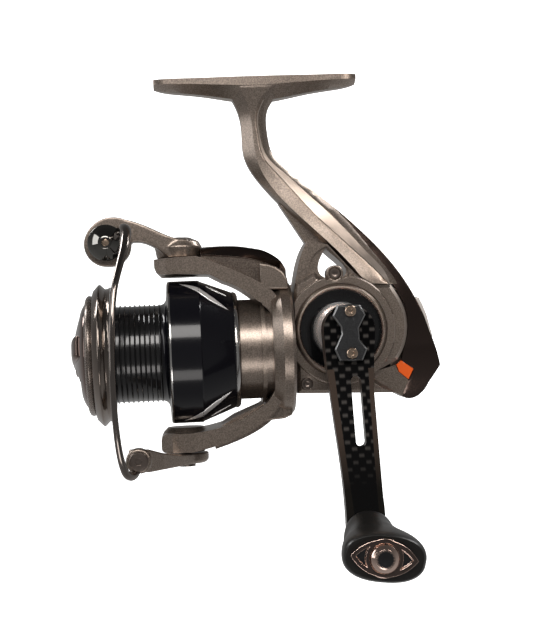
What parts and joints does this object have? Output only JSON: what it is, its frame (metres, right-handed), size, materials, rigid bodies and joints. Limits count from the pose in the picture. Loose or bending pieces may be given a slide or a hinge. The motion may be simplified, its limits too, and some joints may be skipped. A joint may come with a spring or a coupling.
{
  "type": "spinning reel",
  "caption": "Spinning reel: flat foot on a curved stem, long gear-driven rotor with a folding bail, sliding spool with drag knob, and a hand crank with a T-shaped knob.",
  "frame": {"origin": "centre of the foot's flat top, the face that bears on the rod", "axes": "+Z out of the foot towards the rod; +X rearwards along the spool axis, away from the spool's nose; -Y on the crank's side"},
  "size_m": [0.1169, 0.1145, 0.1491],
  "materials": {
    "bronze_paint": "semi-gloss metallic",
    "recess_black": "gloss",
    "bronze_chrome": "mirror polished",
    "rear_chrome": "mirror polished, dark",
    "silver_trim": "polished",
    "accent_orange": "gloss",
    "screw_steel": "satin",
    "bearing_steel": "polished",
    "plain_steel": "satin",
    "brass_gear": "machined",
    "gear_alloy": "machined",
    "gear_plastic": "matte",
    "polished_collar": "mirror polished",
    "carbon_arm": "clear-coated woven fibre",
    "clamp_grey": "anodised satin",
    "soft_black": "matte",
    "spring_steel": "satin",
    "dark_mirror": "mirror polished",
    "spool_black": "gloss",
    "lip_metal": "polished",
    "clip_plastic": "satin",
    "drag_felt": "greased felt",
    "knob_bronze": "satin metallic",
    "knob_dark_chrome": "polished"
  },
  "bodies": {
    "frame": {"body_housing": "bronze_paint", "side_cover": "bronze_paint", "side_cup": "recess_black", "side_ring": "bronze_chrome", "rear_cover": "rear_chrome", "rear_trim": "silver_trim", "rear_accent": "accent_orange", "body_screws": "screw_steel", "far_cap": "bronze_paint", "pinion_retainer": "plain_steel", "clutch_housing": "plain_steel", "clutch_rollers": "bearing_steel", "guide_rod": "plain_steel", "bearing_outer_rings": "bearing_steel", "bearing_balls": "bearing_steel"},
    "crank": {"drive_bearing_inner": "bearing_steel", "drive_gear": "gear_alloy", "osc_drive_gear": "gear_plastic", "handle_shaft": "plain_steel", "drive_collar": "polished_collar", "handle_arm": "carbon_arm", "arm_clamp_plate": "clamp_grey", "arm_screws": "screw_steel", "knob_pin": "plain_steel"},
    "handle_knob": {"knob_grip": "soft_black", "knob_frame": "bronze_chrome", "knob_cap": "bronze_chrome"},
    "rotor": {"rotor": "bronze_paint", "upper_arm_cover": "bronze_paint", "lower_arm_cover": "bronze_paint", "rotor_screws": "screw_steel", "pinion_gear": "brass_gear", "rotor_nut": "brass_gear", "nut_lock": "plain_steel", "clutch_sleeve": "plain_steel", "pinion_bearing_inner": "bearing_steel", "kick_lever": "plain_steel", "bail_spring": "spring_steel", "balance_weights": "brass_gear", "bail_pivot_screws": "screw_steel"},
    "bail": {"bail_arm": "bronze_paint", "roller_cone": "dark_mirror", "roller_screw": "screw_steel", "bail_wire": "dark_mirror", "bail_holder": "bronze_paint", "wire_screw": "screw_steel"},
    "line_roller": {"line_roller": "dark_mirror"},
    "shaft": {"main_shaft": "plain_steel", "spool_sleeve": "gear_plastic", "slider_block": "gear_plastic", "pressure_plate": "plain_steel"},
    "spool": {"spool": "spool_black", "spool_lip": "lip_metal", "line_clip": "clip_plastic", "drag_stack": "drag_felt", "drag_retainer": "plain_steel"},
    "drag_knob": {"drag_knob": "knob_bronze", "knob_bar": "knob_dark_chrome", "drag_spring": "spring_steel"},
    "osc_gear": {"osc_gear": "gear_plastic"}
  },
  "joints": [
    {"name": "crank_turn", "type": "hinge", "parent": "frame", "child": "crank", "pos_m": [0.0234, 0, -0.082], "axis": [0, 1, 0], "continuous": true},
    {"name": "knob_spin", "type": "hinge", "parent": "crank", "child": "handle_knob", "pos_m": [0.0234, -0.072, -0.1415], "axis": [0, 1, 0], "continuous": true},
    {"name": "rotor_turn", "type": "hinge", "parent": "frame", "child": "rotor", "pos_m": [0, 0, -0.087], "axis": [1, 0, 0], "continuous": true},
    {"name": "bail_flip", "type": "hinge", "parent": "rotor", "child": "bail", "pos_m": [-0.0267, 0, -0.087], "axis": [0, 0, -1], "range_deg": [0, 110]},
    {"name": "roller_spin", "type": "hinge", "parent": "bail", "child": "line_roller", "pos_m": [-0.0493, -0.0086, -0.0516], "axis": [0, 1, 0], "continuous": true},
    {"name": "spool_stroke", "type": "slide", "parent": "frame", "child": "shaft", "axis": [-1, 0, 0], "range_m": [-0.0056, 0.0056]},
    {"name": "spool_drag", "type": "hinge", "parent": "shaft", "child": "spool", "pos_m": [0, 0, -0.087], "axis": [1, 0, 0], "continuous": true},
    {"name": "drag_knob_turn", "type": "hinge", "parent": "shaft", "child": "drag_knob", "pos_m": [-0.055, 0, -0.087], "axis": [1, 0, 0], "range_deg": [-360, 360]},
    {"name": "osc_gear_turn", "type": "hinge", "parent": "frame", "child": "osc_gear", "pos_m": [0.02958, 0, -0.0914], "axis": [0, 1, 0], "continuous": true}
  ],
  "couplings": [
    {"joint": "rotor_turn", "follows": "crank_turn", "ratio": 4.7778},
    {"joint": "osc_gear_turn", "follows": "crank_turn", "ratio": -0.5}
  ]
}
